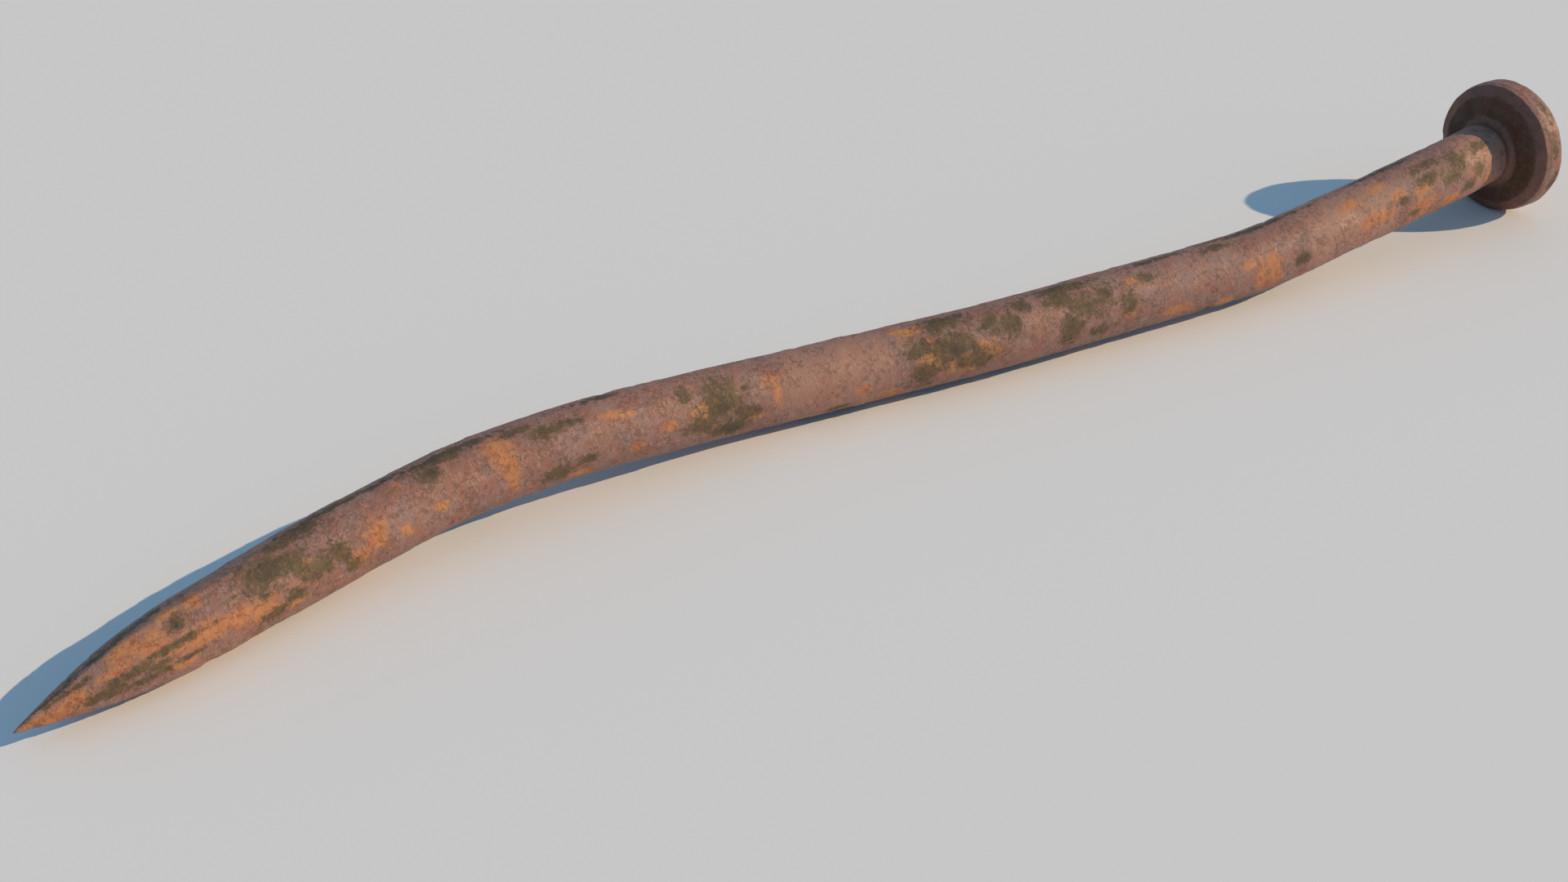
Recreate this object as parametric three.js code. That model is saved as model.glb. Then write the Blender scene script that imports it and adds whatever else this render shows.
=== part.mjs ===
// A bent round timber spike, lying on its side.
// One bar of steel: the head is upset from one end of it and the point is dressed on the other.
// Millimetres, +Z up. The point is towards -X and the head towards +X.
import * as THREE from 'three';

// Driving dimensions, in millimetres and degrees.
const SHANK_DIAMETER = 9.9;
const LENGTH_UNDER_HEAD = 248;
const NECK_FILLET = 1.2;
const HEAD_DIAMETER = 21.4;
const HEAD_THICKNESS = 4.5;
// Out from the flat bearing face the head has a bevel, then a wall that widens to the full diameter.
const BEARING_DIAMETER = 17.6;
const BEVEL = { diameter: 20.9, depth: 0.75 };
const FULL_WIDTH_AT = 1.8;
const RIM_ROUNDING = { across: 0.5, deep: 0.6 };
const POINT_LENGTH = 27.5;
const POINT_FULLNESS = 2;
const POINT_SIDES = 6;
const POINT_TURN = 5;
const FLATS_FULL_TO = 24;
const FLATS_GONE_AT = 42;

// The bar was knocked out of true. It sets off from the tip at these angles.
const TIP_HEADING = 12.6;
const TIP_CLIMB = 3.1;
// Each bend turns the bar by so many degrees to its left and upwards, centred so far from the tip.
const BENDS = [
  { from_tip: 41, left: -5.2, up: 1.9 },
  { from_tip: 64, left: -9.2, up: -3.4 },
  { from_tip: 82, left: 0.8, up: -7.2 },
  { from_tip: 107.7, left: -8.3, up: 5.5 },
  { from_tip: 147, left: 2.9, up: 0.6 },
  { from_tip: 194.5, left: 5.3, up: 5.4 },
  { from_tip: 237, left: 13.3, up: -8.8 },
];
const BEND_LENGTH = 19.8;
// The head was upset off the bar's centre, and turned so many degrees over the end of the shank.
const HEAD_OFF_CENTRE = { right: 0.67, up: 0.73 };
const HEAD_TILT = { right: 10.8, up: 2.6 };
const TILT_LENGTH = 4;

// How finely the solid is faceted.
const SIDES = 24;
const SHANK_STEP = 6.5;
const POINT_STEPS = 12;
const RIM_STEPS = 3;
const NECK_STEPS = 3;
const CENTRELINE_STEP = 0.25;

const LENGTH = LENGTH_UNDER_HEAD + HEAD_THICKNESS;
const NECK_START = LENGTH_UNDER_HEAD - NECK_FILLET;
const UP = new THREE.Vector3(0, 0, 1);
const radians = THREE.MathUtils.degToRad;

// The bar's direction at a distance from the tip: every bend eases in and out over its length, and
// the head's tilt over the end of the shank.
function directionAt(distance) {
  let heading = TIP_HEADING;
  let climb = TIP_CLIMB;
  for (const bend of BENDS) {
    const start = bend.from_tip - BEND_LENGTH / 2;
    const share = THREE.MathUtils.smoothstep(distance, start, start + BEND_LENGTH);
    heading += share * bend.left;
    climb += share * bend.up;
  }
  const tiltStart = LENGTH_UNDER_HEAD - TILT_LENGTH;
  const tilted = THREE.MathUtils.smoothstep(distance, tiltStart, LENGTH_UNDER_HEAD);
  heading -= tilted * HEAD_TILT.right;
  climb += tilted * HEAD_TILT.up;
  const level = Math.cos(radians(climb));
  return new THREE.Vector3(
    level * Math.cos(radians(heading)),
    level * Math.sin(radians(heading)),
    Math.sin(radians(climb)),
  );
}

// The bar's centreline, walked from the tip in short steps.
function walkCentreline() {
  const points = [new THREE.Vector3()];
  const steps = Math.ceil(LENGTH / CENTRELINE_STEP);
  for (let i = 0; i < steps; i++) {
    const middle = (i + 0.5) * CENTRELINE_STEP;
    points.push(points[i].clone().addScaledVector(directionAt(middle), CENTRELINE_STEP));
  }
  return points;
}

const centreline = walkCentreline();

function pointOnCentreline(distance) {
  const place = distance / CENTRELINE_STEP;
  const before = Math.min(Math.floor(place), centreline.length - 2);
  return centreline[before].clone().lerp(centreline[before + 1], place - before);
}

// Radius of the bar where its section is round, or of a corner where it is six-sided.
function barRadius(distance) {
  const left = Math.max(0, 1 - distance / POINT_LENGTH);
  return (SHANK_DIAMETER / 2) * (1 - left ** POINT_FULLNESS);
}

// The outline of the straight spike, turned about its axis: x is radius, y is distance from the tip.
function spikeProfile() {
  const profile = [new THREE.Vector2(0, 0)];
  for (let i = 1; i <= POINT_STEPS; i++) {
    const distance = POINT_LENGTH * (i / POINT_STEPS) ** 1.3;
    profile.push(new THREE.Vector2(barRadius(distance), distance));
  }
  const shankSteps = Math.round((NECK_START - POINT_LENGTH) / SHANK_STEP);
  for (let i = 1; i <= shankSteps; i++) {
    const distance = POINT_LENGTH + ((NECK_START - POINT_LENGTH) * i) / shankSteps;
    profile.push(new THREE.Vector2(SHANK_DIAMETER / 2, distance));
  }
  for (let i = 1; i <= NECK_STEPS; i++) {
    const turn = (Math.PI / 2) * (i / NECK_STEPS);
    const out = NECK_FILLET * (1 - Math.cos(turn));
    profile.push(new THREE.Vector2(SHANK_DIAMETER / 2 + out, NECK_START + NECK_FILLET * Math.sin(turn)));
  }
  profile.push(new THREE.Vector2(BEARING_DIAMETER / 2, LENGTH_UNDER_HEAD));
  profile.push(new THREE.Vector2(BEVEL.diameter / 2, LENGTH_UNDER_HEAD + BEVEL.depth));
  profile.push(new THREE.Vector2(HEAD_DIAMETER / 2, LENGTH_UNDER_HEAD + FULL_WIDTH_AT));
  for (let i = 0; i <= RIM_STEPS; i++) {
    const turn = (Math.PI / 2) * (i / RIM_STEPS);
    const radius = HEAD_DIAMETER / 2 - RIM_ROUNDING.across * (1 - Math.cos(turn));
    profile.push(new THREE.Vector2(radius, LENGTH - RIM_ROUNDING.deep * (1 - Math.sin(turn))));
  }
  profile.push(new THREE.Vector2(0, LENGTH));
  return profile;
}

// Share of its corner radius that a flat-sided section keeps, halfway between corners and at them.
function flatSideShare(angle) {
  const side = (2 * Math.PI) / POINT_SIDES;
  const fromCorner = THREE.MathUtils.euclideanModulo(angle - radians(POINT_TURN), side);
  return Math.cos(side / 2) / Math.cos(fromCorner - side / 2);
}

// Share of the head's off-centre shift: none on the shank, all of it past the bearing face.
function headShare(radius, distance) {
  if (distance > LENGTH_UNDER_HEAD + BEVEL.depth / 2) {
    return 1;
  }
  const neckRadius = SHANK_DIAMETER / 2 + NECK_FILLET;
  return THREE.MathUtils.clamp((radius - neckRadius) / (BEARING_DIAMETER / 2 - neckRadius), 0, 1);
}

// Carries each point of the straight spike to its place beside the bent centreline.
function bend(geometry) {
  const position = geometry.getAttribute('position');
  const straight = new THREE.Vector3();
  for (let i = 0; i < position.count; i++) {
    straight.fromBufferAttribute(position, i);
    const distance = straight.y;
    const along = directionAt(distance);
    const right = new THREE.Vector3().crossVectors(along, UP).normalize();
    const top = new THREE.Vector3().crossVectors(right, along);
    const angle = Math.atan2(straight.x, straight.z);
    const flats = 1 - THREE.MathUtils.smoothstep(distance, FLATS_FULL_TO, FLATS_GONE_AT);
    const share = THREE.MathUtils.lerp(1, flatSideShare(angle), flats);
    const shift = headShare(Math.hypot(straight.x, straight.z), distance);
    const place = pointOnCentreline(distance)
      .addScaledVector(right, straight.x * share + shift * HEAD_OFF_CENTRE.right)
      .addScaledVector(top, straight.z * share + shift * HEAD_OFF_CENTRE.up);
    position.setXYZ(i, place.x, place.y, place.z);
  }
}

// Sets the origin under the middle of the bounding box, at the level the spike lies on.
function setDown(geometry) {
  geometry.computeBoundingBox();
  const { min, max } = geometry.boundingBox;
  geometry.translate(-(min.x + max.x) / 2, -(min.y + max.y) / 2, -min.z);
}

function makeSpike() {
  const geometry = new THREE.LatheGeometry(spikeProfile(), SIDES, radians(POINT_TURN));
  bend(geometry);
  setDown(geometry);
  geometry.computeVertexNormals();
  const rust = new THREE.MeshStandardMaterial({ color: 0x8a5a48, roughness: 0.7, metalness: 0.2 });
  const spike = new THREE.Mesh(geometry, rust);
  spike.name = 'spike';
  return spike;
}

const part = new THREE.Group();
part.add(makeSpike());

export default part;
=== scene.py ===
"""A bent, rusted round timber spike, lying on a pale floor in low raking light."""

import itertools

import bpy
import numpy as np
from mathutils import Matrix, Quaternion, Vector


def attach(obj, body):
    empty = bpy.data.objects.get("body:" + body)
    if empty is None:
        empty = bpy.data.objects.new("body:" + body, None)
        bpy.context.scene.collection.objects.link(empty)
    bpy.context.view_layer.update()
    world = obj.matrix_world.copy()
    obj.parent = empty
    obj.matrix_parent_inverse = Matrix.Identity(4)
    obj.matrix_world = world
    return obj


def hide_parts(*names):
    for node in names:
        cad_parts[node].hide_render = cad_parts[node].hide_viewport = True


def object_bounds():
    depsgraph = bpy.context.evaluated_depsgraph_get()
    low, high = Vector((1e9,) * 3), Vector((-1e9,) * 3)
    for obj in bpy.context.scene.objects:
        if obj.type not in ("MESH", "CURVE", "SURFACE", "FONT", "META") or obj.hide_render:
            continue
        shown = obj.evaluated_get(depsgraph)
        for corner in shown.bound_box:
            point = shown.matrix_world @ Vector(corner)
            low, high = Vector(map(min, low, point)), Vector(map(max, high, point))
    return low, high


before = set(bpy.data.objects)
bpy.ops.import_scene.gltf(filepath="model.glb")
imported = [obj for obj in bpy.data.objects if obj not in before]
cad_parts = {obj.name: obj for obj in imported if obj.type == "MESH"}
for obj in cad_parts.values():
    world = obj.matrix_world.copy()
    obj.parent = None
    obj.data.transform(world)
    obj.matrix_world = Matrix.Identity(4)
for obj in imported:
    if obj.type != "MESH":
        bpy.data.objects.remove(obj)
CAD_LOW, CAD_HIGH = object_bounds()

bl_info = {
    "name": "Bent timber spike",
    "version": (1, 0, 0),
    "blender": (4, 5, 0),
    "location": "View3D > Sidebar > Spike",
    "description": "Builds a bent, rusted timber spike and a plain stage for it",
    "category": "Object",
}

MM = 0.001
PIECE = "spike"

# The bends: distance from the tip in metres, then degrees turned to the left and upwards.
BENDS = (
    (0.0410, -5.2, 1.9),
    (0.0640, -9.2, -3.4),
    (0.0820, 0.8, -7.2),
    (0.1077, -8.3, 5.5),
    (0.1470, 2.9, 0.6),
    (0.1945, 5.3, 5.4),
    (0.2370, 13.3, -8.8),
)
BEND_LENGTH = 0.0198
TIP_HEADING = 12.6
TIP_CLIMB = 3.1
WALK_STEP = 0.00025

# How finely the surface is cut, in metres along the outline and in faces around it.
OUTLINE_STEP = 0.00033
HEAD_STEP = 0.00018
FACES_AROUND = 108

# Rust patches listed one by one: millimetres from the tip, degrees round from the top towards -Y,
# then how long and how wide each one is, in millimetres.
ORANGE = (
    (3.0, 74, 7, 8), (6.8, 66, 5, 5.6), (14.8, 22, 5, 4), (17.5, 34, 4.6, 4), (12.5, 46, 6, 1.8),
    (23.5, 66, 9, 3), (29, 72, 8, 2.8), (24.5, 10, 2.6, 2.4), (21, 4, 3, 2), (32, 90, 5, 2),
    (20, 96, 4, 2), (49, 66, 3.4, 4), (46, 84, 3, 2), (54.5, 12, 1.6, 1.6), (69, 30, 4, 4),
    (69.3, 62, 2.6, 3.6), (69.5, 82, 2.2, 3.4), (85, 34, 3, 1.2), (88, 96, 2, 1.4), (80, 118, 4, 1.4),
    (93, 75, 2.4, 1.2), (110, 40, 3, 1.2), (110.5, 60, 1.4, 4), (107, 92, 1.6, 1.6), (128, 118, 4, 1.6),
    (124, 95, 2.4, 1.2), (133, 12, 4, 1.4), (135, 40, 2, 1.2), (144.5, 84, 2.6, 2), (163, 48, 1.2, 1.2),
    (168, 84, 2, 1.2), (177, 104, 5, 1.8), (186, 120, 4, 1.6), (192.3, 88, 2.6, 5), (194.6, 84, 3.2, 6),
    (190, 60, 2.4, 1.2), (216, 74, 6, 2.4), (226, 92, 5, 2.6), (232, 106, 4, 2), (212, 30, 4, 1.6),
    (218, 22, 4, 1.4), (241, 100, 2.4, 1.4), (221, 50, 3, 1.6),
)
OCHRE = (
    (53, 82, 1.8, 1.6), (58.5, 74, 2.2, 1.4), (75.5, 28, 2, 1.4), (87, 40, 2, 1), (99, 62, 5, 2.6),
    (131.5, 8, 3.4, 2.2), (135, 72, 5, 3), (140, 90, 6, 3), (143, 70, 3, 2), (170, 26, 2.4, 1.2),
    (226, 60, 4, 1.6), (31, 80, 3, 1.2), (39, 52, 2, 1.4), (5, 62, 2, 1.2), (36, 98, 3, 1.2),
)
OLIVE = (
    (10.5, 82, 6, 2.6), (13.5, 66, 7, 1.2), (20, 58, 9, 0.9), (15, 92, 6, 1.4),
    (17, 78, 3, 1.2), (21, 88, 4, 0.8), (5.5, 22, 3, 1.4), (8, 26, 3, 1.2),
    (21.5, 28, 2.4, 2), (33.5, 32, 7, 4.4), (37.5, 40, 4, 3.4), (40.5, 62, 5, 3), (43.5, 60, 3, 2.6),
    (39, 0, 8, 2.2), (36, 84, 3, 1.6), (33, 96, 4, 1.6), (45, 90, 2.4, 1.6), (59, 22, 3, 2),
    (62, 4, 8, 1.4), (75.5, 30, 4, 2), (72, 10, 5, 1.2), (79, 26, 3, 1), (76, 100, 4, 2.2),
    (80, 92, 3, 1.2), (101.5, 56, 7, 5.6), (98, 86, 5, 2.4), (102, 106, 6, 2.2), (105.5, 84, 4, 2),
    (96, 30, 3, 2), (133, 50, 4, 3), (138.5, 14, 7, 2.4), (138, 58, 7, 5), (142, 88, 6, 3),
    (133.5, 90, 4, 4), (148, 44, 3, 4), (150.5, 16, 3, 2.4), (145, 30, 3, 3), (161, 46, 6, 4),
    (164.5, 38, 3, 3), (158, 80, 3.6, 4.4), (157, 24, 4, 3), (163, 98, 4, 1.6), (168, 60, 3, 3),
    (159, 4, 7, 1.6),
    (172, 30, 3, 1.4), (183, 132, 3, 1.2), (200, 82, 2.4, 2.2), (186, 8, 5, 1.2), (228, 44, 5, 2),
    (232, 58, 4, 2.2), (229, 20, 6, 1.6), (236, 92, 3, 2), (224, 96, 2.4, 1.2), (240, 30, 4, 1.6),
    (238, 70, 2.4, 2), (234, 38, 4, 3), (222, 66, 2.4, 1.4), (120, 124, 4, 1.2),
    (250.6, 70, 1.4, 1.8), (251, 34, 1, 2), (251.2, 104, 1.2, 1.4),
)
# Black scale. The two narrow bands round the top of the neck at about 247 mm are painted shade in the
# crevice where the neck meets the head.
BLACK_SCALE_AND_CREVICE_SHADE = (
    (5, 2, 6, 1.6), (12, -12, 9, 1.6), (18, -22, 12, 1.8), (21.4, 31, 1.2, 1.2),
    (34.5, 33, 3, 2), (48, -12, 18, 1.2), (63, -4, 14, 1.2), (59.5, 24, 1.6, 1.2), (103, 102, 4, 1.4),
    (138, 0, 7, 1.4), (158, -6, 9, 1.4), (196, -14, 22, 1.2), (222, -18, 14, 1.2), (247, 18, 0.9, 6),
    (246.9, 62, 0.8, 4), (200.3, 84, 1.4, 1.4), (84, -10, 8, 1.2), (176, -8, 10, 1.2), (101, 66, 3, 1.2),
    (139, 66, 3, 1.4),
)
# Cleaner and lighter stretches of the bar, in millimetres from the tip, and how far each end fades.
BARE = ((112, 128), (202, 220), (236, 247))
BARE_FADE = 2
# The side where no listed patch is placed, in degrees round from the top, and how far it fades.
UNSEEN_FROM, UNSEEN_TO = 140, 315
UNSEEN_FADE = 15
# A patch field's value where there is no patch near.
FAR_OUTSIDE = -3.0

# Widths of the relief's features, and how far from the tip it is quiet.
LUMP_WIDTH = 11 * MM
WAVE_WIDTH = 2.6 * MM
FLAKE_WIDTH = 3.4 * MM
PIT_SPACING = 2.6 * MM
QUIET_TIP = 8 * MM
# The narrowest and widest pit as a share of the spacing, and the share of the cells that have one.
PIT_NARROW, PIT_WIDE = 0.12, 0.50
PITTED = 0.55

# Marks along the taper and round a quarter turn, from which the even outline is read.
TAPER_MARKS = 400
QUARTER_MARKS = 24

# Whole numbers that mix a cell's bits, and how many of the bits are kept.
CELL_PRIMES = (73856093, 19349663, 83492791)
SEED_PRIME, SEED_LIMIT = 2654435761, 2147483647
MIX_FACTOR, MIX_STEP, MIX_SHIFT = 1103515245, 12345, 15
LOW_31_BITS = 0x7FFFFFFF
LOW_20_BITS = 0xFFFFF


class SpikeSizes(bpy.types.PropertyGroup):
    """Driving sizes of the spike. The CAD part has the same ones, except that its corners aren't worn."""

    shank_diameter: bpy.props.FloatProperty(
        name="Shank diameter", description="Bar over its rust", default=0.0099, unit="LENGTH"
    )
    length_under_head: bpy.props.FloatProperty(
        name="Length under the head",
        description="From the tip to the head's bearing face, along the bent axis",
        default=0.248,
        unit="LENGTH",
    )
    neck_fillet: bpy.props.FloatProperty(
        name="Neck fillet", description="Radius where shank meets head", default=0.0012, unit="LENGTH"
    )
    head_diameter: bpy.props.FloatProperty(
        name="Head diameter", description="Across the upset disc", default=0.0214, unit="LENGTH"
    )
    head_thickness: bpy.props.FloatProperty(
        name="Head thickness", description="Bearing face to struck face", default=0.0045, unit="LENGTH"
    )
    bearing_diameter: bpy.props.FloatProperty(
        name="Bearing face", description="Across the flat under the head", default=0.0176, unit="LENGTH"
    )
    bevel_diameter: bpy.props.FloatProperty(
        name="Bevel diameter", description="Across the bevel's outer edge", default=0.0209, unit="LENGTH"
    )
    bevel_depth: bpy.props.FloatProperty(
        name="Bevel depth", description="Depth of the bevel", default=0.00075, unit="LENGTH"
    )
    full_width_at: bpy.props.FloatProperty(
        name="Full width at", description="Where the wall stops widening", default=0.0018, unit="LENGTH"
    )
    rounding_across: bpy.props.FloatProperty(
        name="Rounding across", description="Struck edge's rounding, inwards", default=0.0005, unit="LENGTH"
    )
    rounding_deep: bpy.props.FloatProperty(
        name="Rounding deep", description="Struck edge's rounding, along", default=0.0006, unit="LENGTH"
    )
    point_length: bpy.props.FloatProperty(
        name="Point length", description="Length of the tapered end", default=0.0275, unit="LENGTH"
    )
    point_fullness: bpy.props.FloatProperty(
        name="Point fullness", description="1 is a straight taper, 2 a rounded one", default=2.0
    )
    point_sides: bpy.props.IntProperty(
        name="Point sides", description="Flats dressed on the point", default=6
    )
    point_turn: bpy.props.FloatProperty(
        name="Point turn", description="Turn of the first corner from the top, in degrees", default=5.0
    )
    flats_full_to: bpy.props.FloatProperty(
        name="Flats full to", description="Where the flats begin to fade", default=0.024, unit="LENGTH"
    )
    flats_gone_at: bpy.props.FloatProperty(
        name="Flats gone at", description="Where the section is round again", default=0.042, unit="LENGTH"
    )
    head_right: bpy.props.FloatProperty(
        name="Head to the right", description="Its offset from the bar", default=0.00067, unit="LENGTH"
    )
    head_up: bpy.props.FloatProperty(
        name="Head up", description="Its offset from the bar", default=0.00073, unit="LENGTH"
    )
    tilt_right: bpy.props.FloatProperty(
        name="Tilt to the right", description="Degrees that the head is turned", default=10.8
    )
    tilt_up: bpy.props.FloatProperty(
        name="Tilt up", description="Degrees that the head is turned", default=2.6
    )
    tilt_length: bpy.props.FloatProperty(
        name="Tilt length", description="Shank over which the head is turned", default=0.004, unit="LENGTH"
    )
    corner_wear: bpy.props.FloatProperty(
        name="Corner wear", description="How far the point's corners are rounded, 0 to 1", default=0.45
    )


class SpikeRelief(bpy.types.PropertyGroup):
    """Heights of the corroded surface."""

    lumps: bpy.props.FloatProperty(
        name="Lumps", description="Hammered and wasted swellings", default=0.00006, unit="LENGTH"
    )
    waves: bpy.props.FloatProperty(
        name="Waves", description="Corrosion hollows a few millimetres wide", default=0.00005, unit="LENGTH"
    )
    scale: bpy.props.FloatProperty(
        name="Scale", description="Thickness of the flaking rust", default=0.00006, unit="LENGTH"
    )
    pits: bpy.props.FloatProperty(
        name="Pits", description="Depth of the pits", default=0.00014, unit="LENGTH"
    )


def colour(label, text, value):
    """A colour property with its label, its description and its default."""
    return bpy.props.FloatVectorProperty(
        name=label, description=text, default=value, subtype="COLOR", size=3, min=0.0, max=1.0
    )


class SpikeColours(bpy.types.PropertyGroup):
    """Colours of the rust, as linear light."""

    mauve: colour("Mauve rust", "Greyish old rust of the body", (0.280, 0.162, 0.134))
    pink: colour("Pink rust", "Warmer rust of the body", (0.300, 0.126, 0.084))
    umber: colour("Umber rust", "Dark specks in the body", (0.105, 0.055, 0.040))
    rose: colour("Rose rust", "Lighter rust of the clean stretches", (0.440, 0.225, 0.155))
    strand: colour("Pale strands", "Light fibres of rust in the body", (0.440, 0.270, 0.225))
    orange: colour("Orange rust", "Fresh rust", (0.480, 0.150, 0.046))
    apricot: colour("Apricot rust", "Light grains in fresh rust", (0.510, 0.215, 0.090))
    ochre: colour("Ochre rust", "Yellow hydrated rust", (0.380, 0.185, 0.045))
    olive: colour("Olive stain", "Brown-green stain", (0.098, 0.063, 0.033))
    moss: colour("Moss stain", "Yellow-green grains in the stain", (0.150, 0.098, 0.034))
    # This red-brown is partly the rust's own colour and partly painted shade: it darkens the neck and the
    # bevel, where the head's shadow falls.
    russet_and_painted_shade: colour("Russet rust", "Dark red-brown rust round the neck", (0.190, 0.072, 0.044))
    # This dark brown under the head is partly a stain and partly painted shade of the bearing face, which
    # lies in the head's own shadow.
    crust_and_painted_shade: colour("Head crust", "Dark brown crust under the head", (0.098, 0.030, 0.011))
    black: colour("Black scale", "Mill scale that still clings", (0.045, 0.030, 0.024))


class StageSettings(bpy.types.PropertyGroup):
    """Floor, lights and camera."""

    floor: colour("Floor", "Pale paper floor", (0.80, 0.80, 0.805))
    floor_size: bpy.props.FloatProperty(
        name="Floor size", description="Side of the floor", default=6.0, unit="LENGTH"
    )
    key_colour: colour("Key colour", "Warm low key light", (1.0, 0.757, 0.486))
    key_strength: bpy.props.FloatProperty(
        name="Key strength", description="Sunlight in watts per square metre", default=3.44
    )
    key_softness: bpy.props.FloatProperty(
        name="Key softness", description="Apparent size of the key light", default=0.010, subtype="ANGLE"
    )
    key_heading: bpy.props.FloatProperty(
        name="Key heading", description="Degrees from +X that the light travels towards", default=148.0
    )
    key_height: bpy.props.FloatProperty(
        name="Key height", description="Degrees that the key stands above the floor", default=28.75
    )
    fill_colour: colour("Fill colour", "Bluish light from all round", (0.406, 0.686, 1.0))
    fill_strength: bpy.props.FloatProperty(
        name="Fill strength", description="Brightness of the surroundings", default=0.456
    )
    camera_place: bpy.props.FloatVectorProperty(
        name="Camera place",
        description="Where the camera stands",
        default=(-0.15810, -0.20790, 0.16728),
        subtype="TRANSLATION",
        size=3,
    )
    camera_heading: bpy.props.FloatProperty(
        name="Camera heading", description="Degrees from +X towards +Y", default=55.947
    )
    camera_pitch: bpy.props.FloatProperty(
        name="Camera pitch", description="Degrees that the camera looks down", default=33.339
    )
    camera_roll: bpy.props.FloatProperty(
        name="Camera roll", description="Degrees that the camera leans to the left", default=0.072
    )
    camera_lens: bpy.props.FloatProperty(
        name="Camera lens", description="Focal length in millimetres on a 36 mm sensor", default=50.0
    )


def ease(low, high, value):
    """0 up to low, 1 from high, and 3 t squared minus 2 t cubed between, with t the share of the way."""
    share = np.clip((value - low) / (high - low), 0.0, 1.0)
    return share * share * (3.0 - 2.0 * share)


def unit(vectors):
    """Each row divided by its own length."""
    return vectors / np.linalg.norm(vectors, axis=-1, keepdims=True)


def bar_direction(sizes, distance):
    """The bar's direction: its heading and climb at the tip, plus every bend's share by that distance,
    and the head's tilt, which comes in over the end of the shank."""
    heading = np.full_like(distance, TIP_HEADING)
    climb = np.full_like(distance, TIP_CLIMB)
    for from_tip, left, up in BENDS:
        share = ease(from_tip - BEND_LENGTH / 2, from_tip + BEND_LENGTH / 2, distance)
        heading += share * left
        climb += share * up
    tilted = ease(sizes.length_under_head - sizes.tilt_length, sizes.length_under_head, distance)
    heading -= tilted * sizes.tilt_right
    climb += tilted * sizes.tilt_up
    heading, climb = np.radians(heading), np.radians(climb)
    level = np.cos(climb)
    return np.stack((level * np.cos(heading), level * np.sin(heading), np.sin(climb)), axis=-1)


def carry_along_bar(sizes, distance, across, up):
    """Straight spike to bent spike: the centreline point at that distance, which is the sum of the
    direction over short steps, plus the sideways amount along the bar's level right-hand side and
    the upward amount along the direction square to both."""
    steps = np.arange(0.0, distance.max() + WALK_STEP, WALK_STEP)
    walked = np.cumsum(bar_direction(sizes, steps + WALK_STEP / 2) * WALK_STEP, axis=0)
    walked = np.concatenate((np.zeros((1, 3)), walked))
    marks = np.arange(len(walked)) * WALK_STEP
    centre = np.stack([np.interp(distance, marks, walked[:, k]) for k in range(3)], axis=-1)
    along = bar_direction(sizes, distance)
    right = unit(np.cross(along, (0.0, 0.0, 1.0)))
    top = np.cross(right, along)
    return centre + across[..., None] * right + up[..., None] * top


def spike_outline(sizes):
    """Radius and distance from the tip, all along the outline at even steps, shorter on the head: a
    rounded taper with radius R (1 - (1 - d / length) ^ fullness), the straight shank, a quarter-circle
    fillet, the flat bearing face, a bevel, a wall, a quarter-ellipse edge and the flat struck face."""
    shank, head = sizes.shank_diameter / 2, sizes.head_diameter / 2
    under, top = sizes.length_under_head, sizes.length_under_head + sizes.head_thickness
    taper = np.linspace(0.0, 1.0, TAPER_MARKS) ** 1.5 * sizes.point_length
    left = 1.0 - taper / sizes.point_length
    quarter = np.linspace(0.0, np.pi / 2, QUARTER_MARKS)
    radius = np.concatenate((
        shank * (1.0 - left**sizes.point_fullness),
        shank + sizes.neck_fillet * (1.0 - np.cos(quarter)),
        (sizes.bearing_diameter / 2, sizes.bevel_diameter / 2),
        head - sizes.rounding_across * (1.0 - np.cos(quarter)),
        (0.0,),
    ))
    distance = np.concatenate((
        taper,
        under - sizes.neck_fillet * (1.0 - np.sin(quarter)),
        (under, under + sizes.bevel_depth),
        top - sizes.rounding_deep * (1.0 - np.sin(quarter)),
        (top,),
    ))
    full = len(taper) + len(quarter) + 2
    radius = np.insert(radius, full, head)
    distance = np.insert(distance, full, under + sizes.full_width_at)
    walked = np.concatenate(([0.0], np.cumsum(np.hypot(np.diff(radius), np.diff(distance)))))
    neck = walked[len(taper)]
    even = np.concatenate((
        np.linspace(0.0, neck, round(neck / OUTLINE_STEP), endpoint=False),
        np.linspace(neck, walked[-1], round((walked[-1] - neck) / HEAD_STEP)),
    ))
    return np.interp(even, walked, radius), np.interp(even, walked, distance)


def side_share(sizes, distance, around):
    """1 where the bar is round. On the point, the share of the corner's radius that a regular polygon
    has at that angle: cosine of half a side's angle over cosine of the angle from the side's middle.
    Corner wear brings it towards its mean."""
    side = 2.0 * np.pi / sizes.point_sides
    from_corner = np.mod(around - np.radians(sizes.point_turn), side)
    polygon = np.cos(side / 2) / np.cos(from_corner - side / 2)
    polygon = polygon + sizes.corner_wear * (polygon.mean() - polygon)
    flats = 1.0 - ease(sizes.flats_full_to, sizes.flats_gone_at, distance)
    return 1.0 + flats * (polygon - 1.0)


def head_share(sizes, radius, distance):
    """Share of the head's off-centre shift: none on the shank, growing with the radius across the
    bearing face, and all of it past that face."""
    neck_radius = sizes.shank_diameter / 2 + sizes.neck_fillet
    across_face = np.clip((radius - neck_radius) / (sizes.bearing_diameter / 2 - neck_radius), 0.0, 1.0)
    past_face = distance > sizes.length_under_head + sizes.bevel_depth / 2
    return np.where(past_face, 1.0, across_face)


def cell_number(cell, seed):
    """A repeatable number from 0 to 1 for each whole-number cell, by multiplying and mixing its bits."""
    mixed = np.full(cell.shape[:-1], seed * SEED_PRIME % SEED_LIMIT, np.int64)
    for k in range(3):
        mixed = (mixed ^ (cell[..., k] * CELL_PRIMES[k])) & LOW_31_BITS
        mixed = (mixed * MIX_FACTOR + MIX_STEP) & LOW_31_BITS
        mixed = mixed ^ (mixed >> MIX_SHIFT)
    return (mixed & LOW_20_BITS) / LOW_20_BITS


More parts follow.
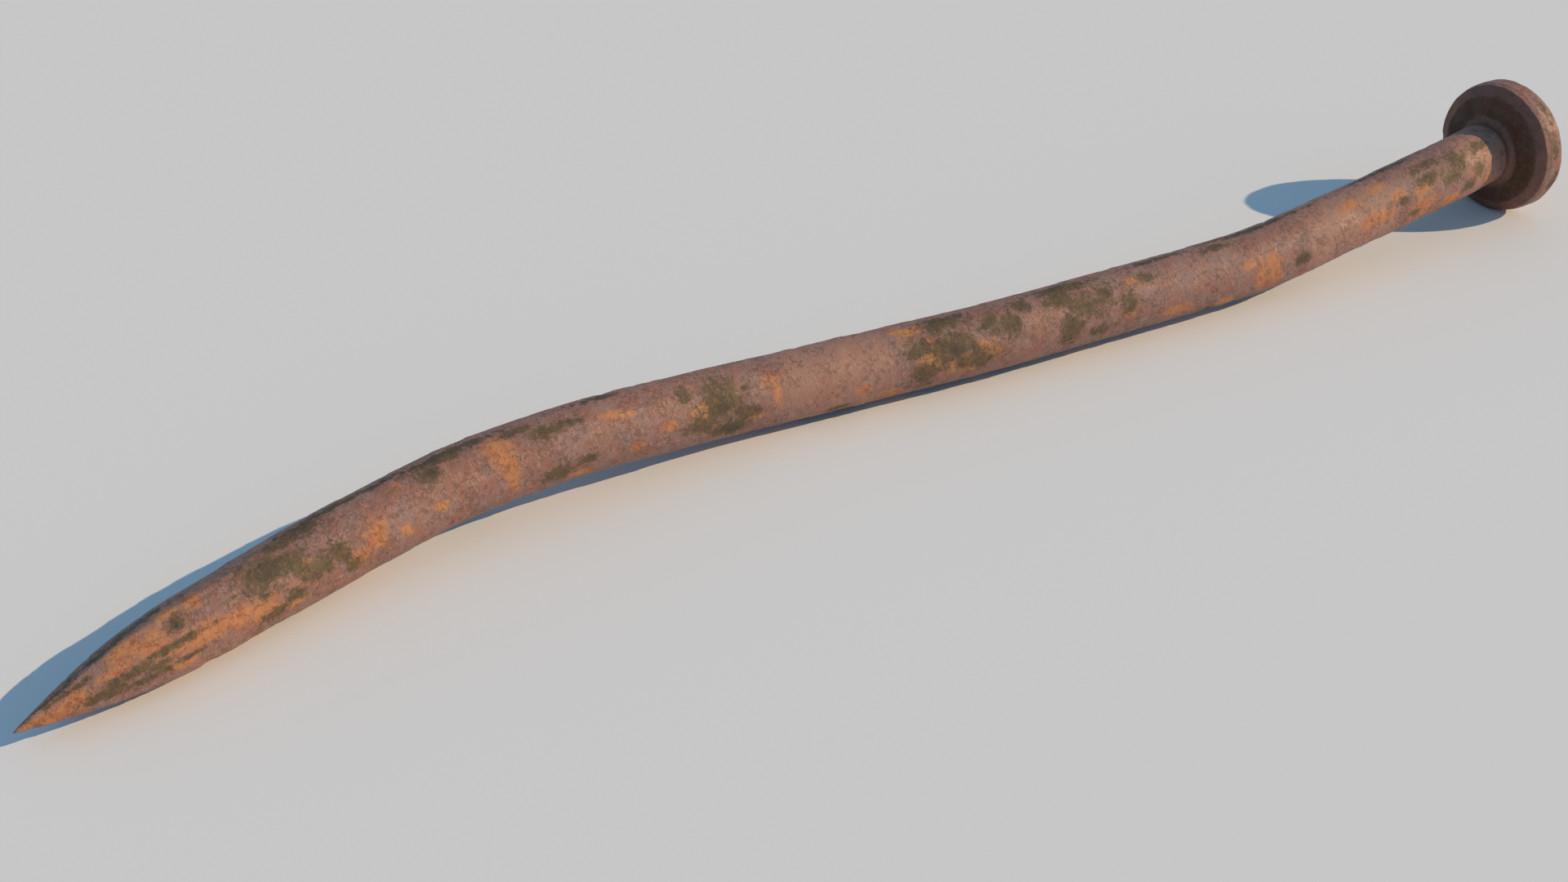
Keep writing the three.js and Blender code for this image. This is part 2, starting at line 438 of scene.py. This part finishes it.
def soft_noise(points, size, seed):
    """Smooth noise from -1 to 1: the random numbers of the eight corners round a point, blended by
    how near it is to each of them."""
    place = points / size
    cell = np.floor(place).astype(np.int64)
    share = ease(0.0, 1.0, place - cell)
    total = np.zeros(points.shape[:-1])
    for corner in itertools.product((0, 1), repeat=3):
        step = np.array(corner)
        weight = np.prod(np.where(step == 1, share, 1.0 - share), axis=-1)
        total += weight * cell_number(cell + step, seed)
    return 2.0 * total - 1.0


def layered_noise(points, size, layers, seed):
    """Several layers of smooth noise, each half the size and just over half the height of the last."""
    total, height, sum_of_heights = 0.0, 1.0, 0.0
    for layer in range(layers):
        total = total + height * soft_noise(points, size, seed + layer)
        sum_of_heights += height
        size, height = size / 2.0, height * 0.55
    return total / sum_of_heights


def pit_depth(points, size, seed):
    """Depth from 0 to 1 of round pits: one may lie in each cell, at a random place and of a random
    width, and its depth falls off as 1 minus the square of the distance over its width."""
    place = points / size
    home = np.floor(place).astype(np.int64)
    deepest = np.zeros(points.shape[:-1])
    for step in itertools.product((-1, 0, 1), repeat=3):
        cell = home + np.array(step)
        middle = cell + np.stack([cell_number(cell, seed + k) for k in range(3)], axis=-1)
        width = PIT_NARROW + (PIT_WIDE - PIT_NARROW) * cell_number(cell, seed + 3) ** 2
        there = cell_number(cell, seed + 4) < PITTED
        away = np.linalg.norm(place - middle, axis=-1) / width
        deepest = np.maximum(deepest, np.where(there, np.clip(1.0 - away**2, 0.0, 1.0), 0.0))
    return deepest


def patch_field(patches, distance, around, shank_radius):
    """How deep inside its nearest patch a point lies: 1 at a patch's middle, 0 on its edge and less
    outside, as 1 minus the distance from the middle in patch half-sizes."""
    inside = np.full(distance.shape, FAR_OUTSIDE)
    for from_tip, degrees, length, width in patches:
        turn = np.mod(around - np.radians(degrees) + np.pi, 2.0 * np.pi) - np.pi
        along = (distance - from_tip * MM) / (length * MM / 2)
        across = turn * shank_radius / (width * MM / 2)
        inside = np.maximum(inside, 1.0 - np.hypot(along, across))
    return inside


def unseen_side(around):
    """1 on the side away from the camera, where no listed patch is placed, and 0 on the other."""
    degrees = np.mod(np.degrees(around), 360.0)
    begun = ease(UNSEEN_FROM - UNSEEN_FADE, UNSEEN_FROM + UNSEEN_FADE, degrees)
    ended = ease(UNSEEN_TO - UNSEEN_FADE, UNSEEN_TO + UNSEEN_FADE, degrees)
    return begun * (1.0 - ended)


def head_crust_and_painted_shade(sizes, radius, distance):
    """Where the dark crust lies under the head, as a patch field: 1.3 halfway out on the bearing face,
    1 less at its inner and outer edges, and 3 less for each bevel's depth off the face. It is partly a dark
    stain and partly painted shade of the bearing face, which lies in the head's own shadow."""
    inner, outer = sizes.shank_diameter / 2 + sizes.neck_fillet, sizes.bearing_diameter / 2
    from_middle = np.abs(radius - (inner + outer) / 2) / ((outer - inner) / 2)
    off_face = np.abs(distance - sizes.length_under_head) / sizes.bevel_depth
    return 1.3 - from_middle - 3.0 * off_face


def bare_rust(distance):
    """1 along the cleaner stretches, easing to 0 at their ends."""
    share = np.zeros_like(distance)
    for start, end in BARE:
        begun = ease(start - BARE_FADE, start + BARE_FADE, distance / MM)
        ended = ease(end - BARE_FADE, end + BARE_FADE, distance / MM)
        share = np.maximum(share, begun * (1.0 - ended))
    return share


def neck_rust_and_painted_shade(sizes, distance):
    """1 on the neck and on the head up to the bevel's edge, easing to 0 along the shank and the wall. This
    is partly the rust's own red-brown and partly painted shade where the head's shadow falls on the neck
    and bevel.
    """
    edge = sizes.length_under_head + sizes.bevel_depth
    start = sizes.length_under_head - 1.9 * sizes.neck_fillet
    return ease(start, start + sizes.neck_fillet, distance) * (1.0 - ease(edge, edge + 0.3 * MM, distance))


def scattered_patches(points, size, cover, seed):
    """Patches from layered noise alone: above 0 where the noise passes the cover level."""
    return 3.0 * (layered_noise(points, size, 3, seed) - cover)


def corroded_height(relief, points, distance, sizes):
    """Height of the surface over the clean steel: broad lumps, smaller waves, the edges of flaking
    scale, and pits cut into it. The tip is quieter, and the head's lumps are higher."""
    lumps = soft_noise(points, LUMP_WIDTH, 3) + 0.5 * soft_noise(points, LUMP_WIDTH / 2, 4)
    waves = layered_noise(points, WAVE_WIDTH, 3, 11)
    flakes = ease(-0.04, 0.12, layered_noise(points, FLAKE_WIDTH, 4, 23))
    pits = pit_depth(points, PIT_SPACING, 41) + 0.6 * pit_depth(points, PIT_SPACING / 2, 57)
    past_tip = ease(0.0, QUIET_TIP, distance)
    on_head = ease(-1 * MM, 1 * MM, distance - sizes.length_under_head)
    return (
        relief.lumps * lumps * past_tip * (1.0 + 0.6 * on_head)
        + relief.waves * waves * (0.4 + 0.6 * past_tip)
        + relief.scale * flakes
        - relief.pits * pits * (0.25 + 0.75 * past_tip)
    )


def outward(grid):
    """Normals of a grid of points that closes round its second direction: the cross product of the
    steps along and around it, with the poles' rows taken from their neighbours."""
    along = np.gradient(grid, axis=0)
    around = np.roll(grid, -1, axis=1) - np.roll(grid, 1, axis=1)
    normal = np.cross(around, along)
    normal[0], normal[-1] = normal[1].mean(axis=0), normal[-2].mean(axis=0)
    return unit(normal)


def closed_mesh(name, grid):
    """A mesh from a grid of rings: the first and last rings shrink to one point each and are closed
    with triangles, and each other pair of rings is joined with four-sided faces."""
    rings, sides = grid.shape[0] - 2, grid.shape[1]
    points = np.concatenate((grid[:1, 0], grid[1:-1].reshape(-1, 3), grid[-1:, 0]))
    ring, side = np.meshgrid(np.arange(rings), np.arange(sides), indexing="ij")
    spot = 1 + ring * sides + side
    beside = 1 + ring * sides + (side + 1) % sides
    quads = np.stack((spot[:-1], spot[1:], beside[1:], beside[:-1]), axis=-1).reshape(-1, 4)
    start = np.stack((np.zeros(sides, int), spot[0], beside[0]), axis=-1)
    end = np.stack((np.full(sides, len(points) - 1), beside[-1], spot[-1]), axis=-1)
    mesh = bpy.data.meshes.new(name)
    mesh.from_pydata(points.tolist(), [], start.tolist() + quads.tolist() + end.tolist())
    mesh.polygons.foreach_set("use_smooth", np.ones(len(mesh.polygons), bool))
    mesh.update()
    return mesh


def ring_values(values):
    """A grid's values in the mesh's vertex order: one for each pole, and every ring between."""
    return np.concatenate((values[:1, 0], values[1:-1].ravel(), values[-1:, 0]))


def store(mesh, name, values):
    """Puts one number per vertex into the mesh, where a material reads it by name."""
    mesh.attributes.new(name, "FLOAT", "POINT").data.foreach_set("value", ring_values(values))


def set_down(grid, over):
    """Moves the grid so that the plain surface's box is centred in the CAD box and the finished
    surface touches the level that the CAD part stands on."""
    flat_over = over.reshape(-1, 3)
    move = (np.array(CAD_LOW) + np.array(CAD_HIGH) - flat_over.min(0) - flat_over.max(0)) / 2
    move[2] = CAD_LOW[2] - grid[..., 2].min()
    return grid + move


class OBJECT_OT_rusted_spike(bpy.types.Operator):
    """Builds the spike's corroded steel surface in place of the plain CAD solid"""

    bl_idname = "object.rusted_spike"
    bl_label = "Rusted spike"

    def execute(self, context):
        sizes, relief = context.scene.spike_sizes, context.scene.spike_relief
        radius, distance = spike_outline(sizes)
        around = np.radians(sizes.point_turn) + np.arange(FACES_AROUND) * 2.0 * np.pi / FACES_AROUND
        distance, around = np.meshgrid(distance, around, indexing="ij")
        width = radius[:, None] * side_share(sizes, distance, around)
        on_head = head_share(sizes, radius[:, None], distance)
        across = width * np.sin(around) + on_head * sizes.head_right
        up = width * np.cos(around) + on_head * sizes.head_up
        plain = carry_along_bar(sizes, distance, across, up)
        height = corroded_height(relief, plain, distance, sizes)
        height[0], height[-1] = height[0].mean(), height[-1].mean()
        surface = set_down(plain + height[..., None] * outward(plain), plain)
        mesh = closed_mesh("rusted_spike", surface)
        shank = sizes.shank_diameter / 2
        hidden = unseen_side(around)
        for name, patches, size, cover, seed in (
            ("orange_rust", ORANGE, 6 * MM, 0.30, 71),
            ("ochre_rust", OCHRE, 5 * MM, 0.38, 83),
            ("olive_stain", OLIVE, 7 * MM, 0.26, 97),
            ("black_scale_and_crevice_shade", BLACK_SCALE_AND_CREVICE_SHADE, 5 * MM, 0.44, 113),
        ):
            placed = patch_field(patches, distance, around, shank)
            scattered = scattered_patches(plain, size, cover, seed)
            store(mesh, name, np.maximum(placed, scattered * hidden + FAR_OUTSIDE * (1.0 - hidden)))
        store(mesh, "head_crust_and_painted_shade", head_crust_and_painted_shade(sizes, radius[:, None], distance))
        store(mesh, "bare_rust", bare_rust(distance))
        store(mesh, "neck_rust_and_painted_shade", neck_rust_and_painted_shade(sizes, distance))
        piece = bpy.data.objects.new("rusted_spike", mesh)
        context.scene.collection.objects.link(piece)
        mesh.materials.append(rust_material(context.scene.spike_colours))
        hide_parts(PIECE)
        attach(piece, "root")
        return {"FINISHED"}


def add_node(tree, kind, settings=None, **inputs):
    """A shader node with its settings, and each named input linked to a socket or set to a value."""
    node = tree.nodes.new(kind)
    for name, value in (settings or {}).items():
        setattr(node, name, value)
    for name, value in inputs.items():
        socket = node.inputs[int(name[1:])] if name[0] == "_" else node.inputs[name.replace("_", " ")]
        if isinstance(value, bpy.types.NodeSocket):
            tree.links.new(value, socket)
        else:
            socket.default_value = value
    return node


def arithmetic(tree, operation, first, second=0.0):
    """One sum, product or other step on two values."""
    return add_node(tree, "ShaderNodeMath", {"operation": operation}, _0=first, _1=second).outputs[0]


def between(tree, value, low, high, to_low=0.0, to_high=1.0):
    """The value carried smoothly from one range to another."""
    settings = {"interpolation_type": "SMOOTHSTEP"}
    node = add_node(
        tree, "ShaderNodeMapRange", settings, _0=value, _1=low, _2=high, _3=to_low, _4=to_high
    )
    return node.outputs[0]


def blend(tree, share, under, over):
    """One colour laid over another by a share."""
    node = add_node(tree, "ShaderNodeMix", {"data_type": "RGBA"}, _0=share, _6=under, _7=over)
    return node.outputs[2]


def noise(tree, vector, scale, detail=2.0, roughness=0.5, distortion=0.0):
    """Fractal noise from 0 to 1 at so many features a metre."""
    return add_node(
        tree,
        "ShaderNodeTexNoise",
        Vector=vector,
        Scale=scale,
        Detail=detail,
        Roughness=roughness,
        Distortion=distortion,
    ).outputs["Fac"]


def new_group(name, inputs, outputs):
    """An empty shader node group with named sockets: its tree, its input node and its output node."""
    tree = bpy.data.node_groups.new(name, "ShaderNodeTree")
    for label, kind, value in inputs:
        socket = tree.interface.new_socket(label, in_out="INPUT", socket_type="NodeSocket" + kind)
        if value is not None:
            socket.default_value = value
    for label, kind in outputs:
        tree.interface.new_socket(label, in_out="OUTPUT", socket_type="NodeSocket" + kind)
    return tree, tree.nodes.new("NodeGroupInput"), tree.nodes.new("NodeGroupOutput")


def ragged_patch_group():
    """Turns a smooth patch field into a patch with a frayed edge and stray crumbs."""
    tree, given, out = new_group(
        "Ragged patch",
        (
            ("Vector", "Vector", None),
            ("Field", "Float", 0.0),
            ("Grain", "Float", 600.0),
            ("Fray", "Float", 2.0),
            ("Edge", "Float", 0.12),
        ),
        (("Mask", "Float"),),
    )
    vector, grain = given.outputs["Vector"], given.outputs["Grain"]
    fray = noise(tree, vector, grain, detail=7.0, roughness=0.78, distortion=0.5)
    fray = arithmetic(tree, "MULTIPLY", arithmetic(tree, "SUBTRACT", fray, 0.5), given.outputs["Fray"])
    field = arithmetic(tree, "ADD", given.outputs["Field"], fray)
    low = arithmetic(tree, "MULTIPLY", given.outputs["Edge"], -1.0)
    tree.links.new(between(tree, field, low, given.outputs["Edge"]), out.inputs["Mask"])
    return tree


def two_tone_group():
    """Mixes two colours and a dark speck colour by noise of a given grain."""
    tree, given, out = new_group(
        "Two-tone rust",
        (
            ("Vector", "Vector", None),
            ("Grain", "Float", 900.0),
            ("Under", "Color", (0.5, 0.5, 0.5, 1.0)),
            ("Over", "Color", (0.5, 0.5, 0.5, 1.0)),
            ("Speck", "Color", (0.1, 0.1, 0.1, 1.0)),
            ("Balance", "Float", 0.5),
            ("Specks", "Float", 0.5),
        ),
        (("Color", "Color"),),
    )
    vector, grain = given.outputs["Vector"], given.outputs["Grain"]
    mix = noise(tree, vector, grain, detail=5.0, roughness=0.6, distortion=0.4)
    softness = 0.14
    low = arithmetic(tree, "SUBTRACT", given.outputs["Balance"], softness)
    high = arithmetic(tree, "ADD", given.outputs["Balance"], softness)
    body = blend(tree, between(tree, mix, low, high), given.outputs["Over"], given.outputs["Under"])
    finer = arithmetic(tree, "MULTIPLY", grain, 2.3)
    speck = noise(tree, vector, finer, detail=4.0, roughness=0.7)
    speck = arithmetic(tree, "MULTIPLY", between(tree, speck, 0.52, 0.68), given.outputs["Specks"])
    tree.links.new(blend(tree, speck, body, given.outputs["Speck"]), out.inputs["Color"])
    return tree


def fine_surface_group():
    """Fine relief of corroded steel: grains, short fibres that run round the bar, and pinholes. The
    fibres and the pinholes also come out as masks for the colour."""
    tree, given, out = new_group(
        "Corroded surface",
        (("Vector", "Vector", None), ("Grain", "Float", 1500.0), ("Run", "Float", 0.36)),
        (("Height", "Float"), ("Fibres", "Float"), ("Pinholes", "Float")),
    )
    vector, grain = given.outputs["Vector"], given.outputs["Grain"]
    grains = noise(tree, vector, grain, detail=5.0, roughness=0.65)
    run = given.outputs["Run"]
    squeeze = add_node(tree, "ShaderNodeCombineXYZ", _0=1.0, _1=run, _2=run)
    across = add_node(tree, "ShaderNodeMapping", Vector=vector, Scale=squeeze.outputs[0]).outputs[0]
    stroke_grain = arithmetic(tree, "MULTIPLY", grain, 1.9)
    strokes = noise(tree, across, stroke_grain, detail=3.0, roughness=0.62, distortion=1.0)
    tangle_grain = arithmetic(tree, "MULTIPLY", grain, 1.1)
    tangle = noise(tree, vector, tangle_grain, detail=4.0, roughness=0.7, distortion=2.4)
    fibres = arithmetic(tree, "MULTIPLY", arithmetic(tree, "ADD", strokes, tangle), 0.5)
    clusters = noise(tree, vector, arithmetic(tree, "MULTIPLY", grain, 0.16))
    holes = noise(tree, vector, grain, detail=4.0, roughness=0.72, distortion=0.6)
    holes = arithmetic(tree, "ADD", holes, arithmetic(tree, "MULTIPLY", clusters, 0.35))
    holes = between(tree, holes, 0.70, 0.80)
    height = arithmetic(tree, "ADD", arithmetic(tree, "MULTIPLY", grains, 0.6), fibres)
    height = arithmetic(tree, "SUBTRACT", height, arithmetic(tree, "MULTIPLY", holes, 0.5))
    tree.links.new(height, out.inputs["Height"])
    tree.links.new(between(tree, fibres, 0.50, 0.62), out.inputs["Fibres"])
    tree.links.new(holes, out.inputs["Pinholes"])
    return tree


def linear(colour_value):
    """A colour property as red, green, blue and full opacity."""
    return (*colour_value, 1.0)


def rust_material(colours):
    """Old mauve and pink rust, with orange, ochre, olive and black patches that the mesh places, and
    painted shade on the neck, the bevel, the bearing face and in the neck's crevice.
    """
    material = bpy.data.materials.new("rusted_steel")
    material.use_nodes = True
    tree = material.node_tree
    shader = tree.nodes["Principled BSDF"]
    place = add_node(tree, "ShaderNodeTexCoord").outputs["Object"]
    patch_tree, tone_tree, surface_tree = ragged_patch_group(), two_tone_group(), fine_surface_group()

    def mesh_value(attribute):
        """A number that the mesh holds under a name."""
        return add_node(tree, "ShaderNodeAttribute", {"attribute_name": attribute}).outputs["Fac"]

    def tone(under, over, speck, grain, balance, specks):
        """Two colours and a speck colour, mixed by noise."""
        return add_node(
            tree,
            "ShaderNodeGroup",
            {"node_tree": tone_tree},
            Vector=place,
            Grain=grain,
            Under=linear(under),
            Over=linear(over),
            Speck=linear(speck),
            Balance=balance,
            Specks=specks,
        ).outputs["Color"]

    def patch(attribute, grain, fray, edge):
        """The frayed mask of a patch field."""
        return add_node(
            tree,
            "ShaderNodeGroup",
            {"node_tree": patch_tree},
            Vector=place,
            Field=mesh_value(attribute),
            Grain=grain,
            Fray=fray,
            Edge=edge,
        ).outputs["Mask"]

    def lay(under, over, share, strength):
        """One colour laid over another by a share of a strength."""
        return blend(tree, arithmetic(tree, "MULTIPLY", share, strength), under, over)

    fine = add_node(tree, "ShaderNodeGroup", {"node_tree": surface_tree}, Vector=place, Grain=1500.0)
    fibres, pinholes = fine.outputs["Fibres"], fine.outputs["Pinholes"]
    body = tone(colours.mauve, colours.pink, colours.umber, grain=300.0, balance=0.50, specks=0.38)
    body = lay(body, linear(colours.strand), fibres, strength=0.60)
    body = lay(body, linear(colours.rose), mesh_value("bare_rust"), strength=0.48)
    bloom = tone(colours.orange, colours.apricot, colours.pink, grain=800.0, balance=0.56, specks=0.45)
    yellow = tone(colours.ochre, colours.apricot, colours.olive, grain=1000.0, balance=0.62, specks=0.5)
    stain = tone(colours.olive, colours.moss, colours.black, grain=1500.0, balance=0.46, specks=0.4)
    scale = tone(colours.black, colours.olive, colours.black, grain=1200.0, balance=0.62, specks=0.5)
    orange = patch("orange_rust", grain=700.0, fray=2.8, edge=0.50)
    ochre = patch("ochre_rust", grain=700.0, fray=4.0, edge=0.40)
    olive = patch("olive_stain", grain=620.0, fray=6.5, edge=0.35)
    crumbs = patch("olive_stain", grain=1900.0, fray=8.0, edge=0.50)
    black = patch("black_scale_and_crevice_shade", grain=800.0, fray=6.0, edge=0.35)
    shown = lay(body, bloom, orange, strength=0.92)
    shown = blend(tree, ochre, shown, yellow)
    shown = lay(shown, linear(colours.umber), pinholes, strength=0.45)
    shown = lay(shown, stain, crumbs, strength=0.55)
    shown = lay(shown, stain, olive, strength=0.90)
    # Black scale, which at the top of the neck also lays painted shade into the crevice under the head.
    shown = blend(tree, black, shown, scale)
    # Painted shade, partly real rust: a darker red-brown laid on the neck and bevel, where the head's
    # shadow falls.
    russet_and_painted_shade = tone(colours.russet_and_painted_shade, colours.umber, colours.black, grain=500.0, balance=0.45, specks=0.4)
    shown = lay(shown, russet_and_painted_shade, mesh_value("neck_rust_and_painted_shade"), strength=0.8)
    # Painted shade, partly real stain: a dark brown ring on the bearing face under the head.
    crust_and_painted_shade = tone(colours.crust_and_painted_shade, colours.olive, colours.black, grain=700.0, balance=0.46, specks=0.4)
    shown = blend(tree, patch("head_crust_and_painted_shade", grain=420.0, fray=4.6, edge=0.45), shown, crust_and_painted_shade)
    tree.links.new(shown, shader.inputs["Base Color"])
    uneven = noise(tree, place, 300.0, detail=3.0, roughness=0.6)
    rough = between(tree, uneven, 0.35, 0.65, to_low=0.52, to_high=0.70)
    rough = arithmetic(tree, "ADD", rough, arithmetic(tree, "MULTIPLY", orange, 0.12))
    rough = arithmetic(tree, "ADD", rough, arithmetic(tree, "MULTIPLY", olive, 0.08))
    tree.links.new(rough, shader.inputs["Roughness"])
    relief = add_node(
        tree,
        "ShaderNodeBump",
        Height=fine.outputs["Height"],
        Strength=0.55,
        Distance=0.00016,
    )
    tree.links.new(relief.outputs["Normal"], shader.inputs["Normal"])
    return material


def add_floor(stage):
    """A flat square of pale paper under the spike."""
    side = stage.floor_size / 2
    mesh = bpy.data.meshes.new("floor")
    level = CAD_LOW[2]
    corners = [(-side, -side, level), (side, -side, level), (side, side, level), (-side, side, level)]
    mesh.from_pydata(corners, [], [(0, 1, 2, 3)])
    floor = bpy.data.objects.new("floor", mesh)
    bpy.context.scene.collection.objects.link(floor)
    material = bpy.data.materials.new("pale_paper")
    material.use_nodes = True
    shader = material.node_tree.nodes["Principled BSDF"]
    shader.inputs["Base Color"].default_value = linear(stage.floor)
    shader.inputs["Roughness"].default_value = 0.9
    shader.inputs["Specular IOR Level"].default_value = 0.1
    mesh.materials.append(material)


def pointing(heading, climb):
    """The direction at so many degrees from +X towards +Y, and so many above the floor."""
    level = np.cos(np.radians(climb))
    return Vector((
        level * np.cos(np.radians(heading)),
        level * np.sin(np.radians(heading)),
        np.sin(np.radians(climb)),
    ))


def add_lights(stage):
    """A warm low key light and an even bluish fill from all round."""
    key = bpy.data.lights.new("key", "SUN")
    key.color = stage.key_colour
    key.energy = stage.key_strength
    key.angle = stage.key_softness
    holder = bpy.data.objects.new("key", key)
    travels = pointing(stage.key_heading, -stage.key_height)
    holder.rotation_euler = travels.to_track_quat("-Z", "Y").to_euler()
    bpy.context.scene.collection.objects.link(holder)
    world = bpy.data.worlds.new("surroundings")
    world.use_nodes = True
    background = world.node_tree.nodes["Background"]
    background.inputs["Color"].default_value = linear(stage.fill_colour)
    background.inputs["Strength"].default_value = stage.fill_strength
    bpy.context.scene.world = world


def add_camera(stage):
    """The camera at its place, looking along its heading and down by its pitch."""
    camera = bpy.data.cameras.new("camera")
    camera.lens = stage.camera_lens
    camera.sensor_width = 36.0
    camera.clip_start = 0.005
    camera.clip_end = 20.0
    holder = bpy.data.objects.new("camera", camera)
    holder.location = stage.camera_place
    looks = pointing(stage.camera_heading, -stage.camera_pitch)
    lean = Quaternion((0.0, 0.0, 1.0), np.radians(stage.camera_roll))
    holder.rotation_euler = (looks.to_track_quat("-Z", "Y") @ lean).to_euler()
    bpy.context.scene.collection.objects.link(holder)
    bpy.context.scene.camera = holder


class OBJECT_OT_spike_stage(bpy.types.Operator):
    """Lays the floor, sets the lights and stands the camera"""

    bl_idname = "object.spike_stage"
    bl_label = "Spike stage"

    def execute(self, context):
        stage = context.scene.spike_stage
        add_floor(stage)
        add_lights(stage)
        add_camera(stage)
        context.scene.view_settings.view_transform = "Standard"
        return {"FINISHED"}


class VIEW3D_PT_spike(bpy.types.Panel):
    """Lists the spike's sizes, relief, colours and stage, and the buttons that build them"""

    bl_label = "Spike"
    bl_space_type = "VIEW_3D"
    bl_region_type = "UI"
    bl_category = "Spike"

    def draw(self, context):
        scene = context.scene
        self.layout.operator(OBJECT_OT_rusted_spike.bl_idname)
        self.layout.operator(OBJECT_OT_spike_stage.bl_idname)
        for group in (scene.spike_sizes, scene.spike_relief, scene.spike_colours, scene.spike_stage):
            column = self.layout.column(align=True)
            for name in group.__annotations__:
                column.prop(group, name)


CLASSES = (
    SpikeSizes,
    SpikeRelief,
    SpikeColours,
    StageSettings,
    OBJECT_OT_rusted_spike,
    OBJECT_OT_spike_stage,
    VIEW3D_PT_spike,
)
SETTINGS = {
    "spike_sizes": SpikeSizes,
    "spike_relief": SpikeRelief,
    "spike_colours": SpikeColours,
    "spike_stage": StageSettings,
}


def register():
    for cls in CLASSES:
        bpy.utils.register_class(cls)
    for name, group in SETTINGS.items():
        setattr(bpy.types.Scene, name, bpy.props.PointerProperty(type=group))


def unregister():
    for name in SETTINGS:
        delattr(bpy.types.Scene, name)
    for cls in reversed(CLASSES):
        bpy.utils.unregister_class(cls)


def main():
    """Builds everything through the operators."""
    register()
    bpy.ops.object.spike_stage()
    bpy.ops.object.rusted_spike()


if __name__ == "__main__":
    main()
